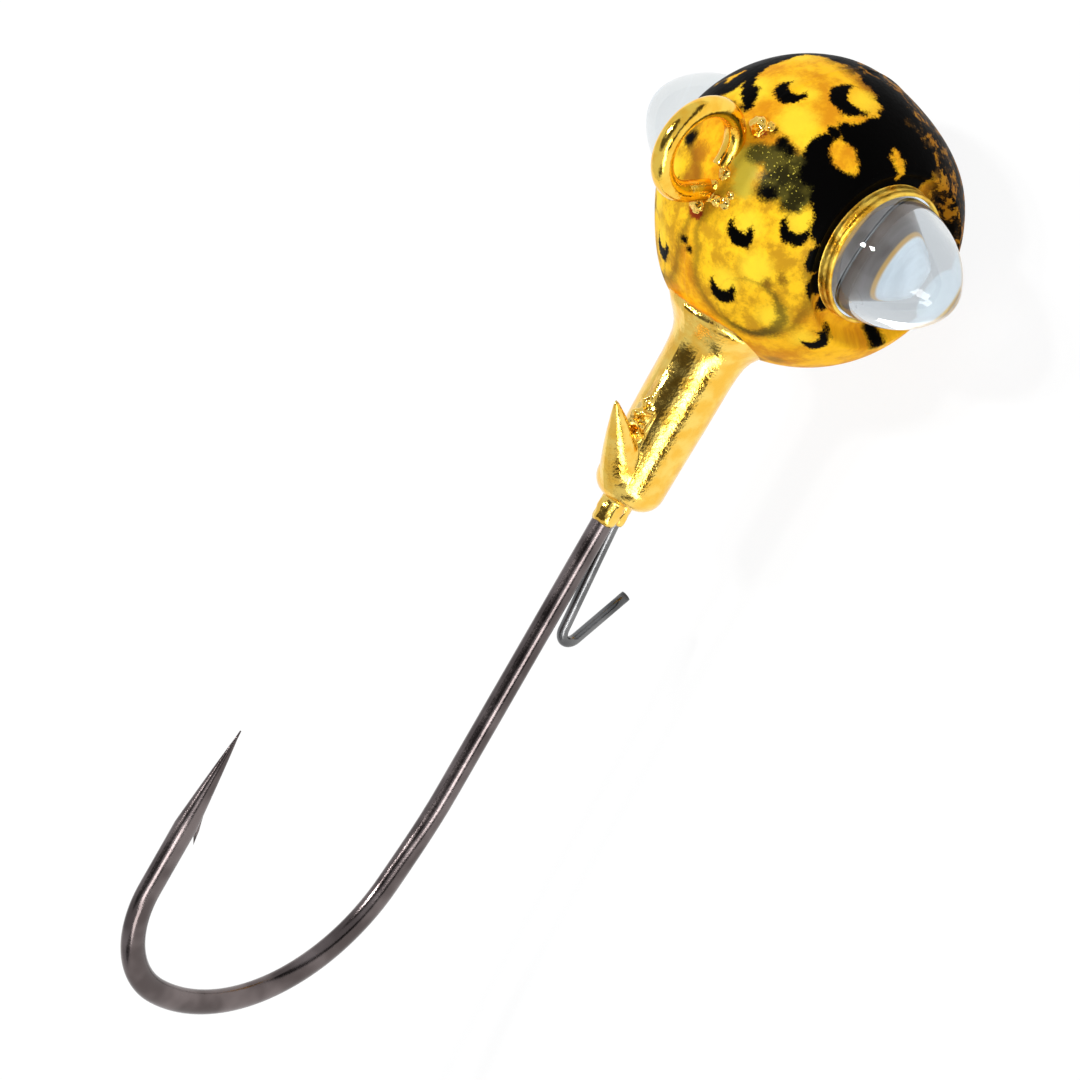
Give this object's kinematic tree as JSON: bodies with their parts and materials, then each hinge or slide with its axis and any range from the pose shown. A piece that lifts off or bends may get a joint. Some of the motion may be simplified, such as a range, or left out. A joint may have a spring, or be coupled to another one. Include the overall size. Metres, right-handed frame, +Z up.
{
  "type": "jig head",
  "caption": "Ball-shaped cast fishing jig head on a wire hook, with a line-tie ring, a barbed bait collar, a bait-keeper wire and clear stud eyes.",
  "frame": {"origin": "centre of the line-tie ring", "axes": "+X forwards along the shank towards the nose, +Y to the left across the head, +Z up towards the line tie and the hook point"},
  "size_m": [0.0402, 0.0158, 0.0187],
  "materials": {
    "plated_lead": "gold plating under clear yellow lacquer with soft black spots",
    "black_nickel_wire": "black-nickel plated, drawn wire",
    "spring_wire": "bright drawn wire",
    "clear_eye": "polished clear",
    "cement": "clear cured adhesive"
  },
  "bodies": {
    "root": {"head_casting": "plated_lead", "hook": "black_nickel_wire", "bait_keeper": "spring_wire", "eye_right": "clear_eye", "eye_left": "clear_eye", "eye_cement_right": "cement", "eye_cement_left": "cement"}
  },
  "joints": []
}
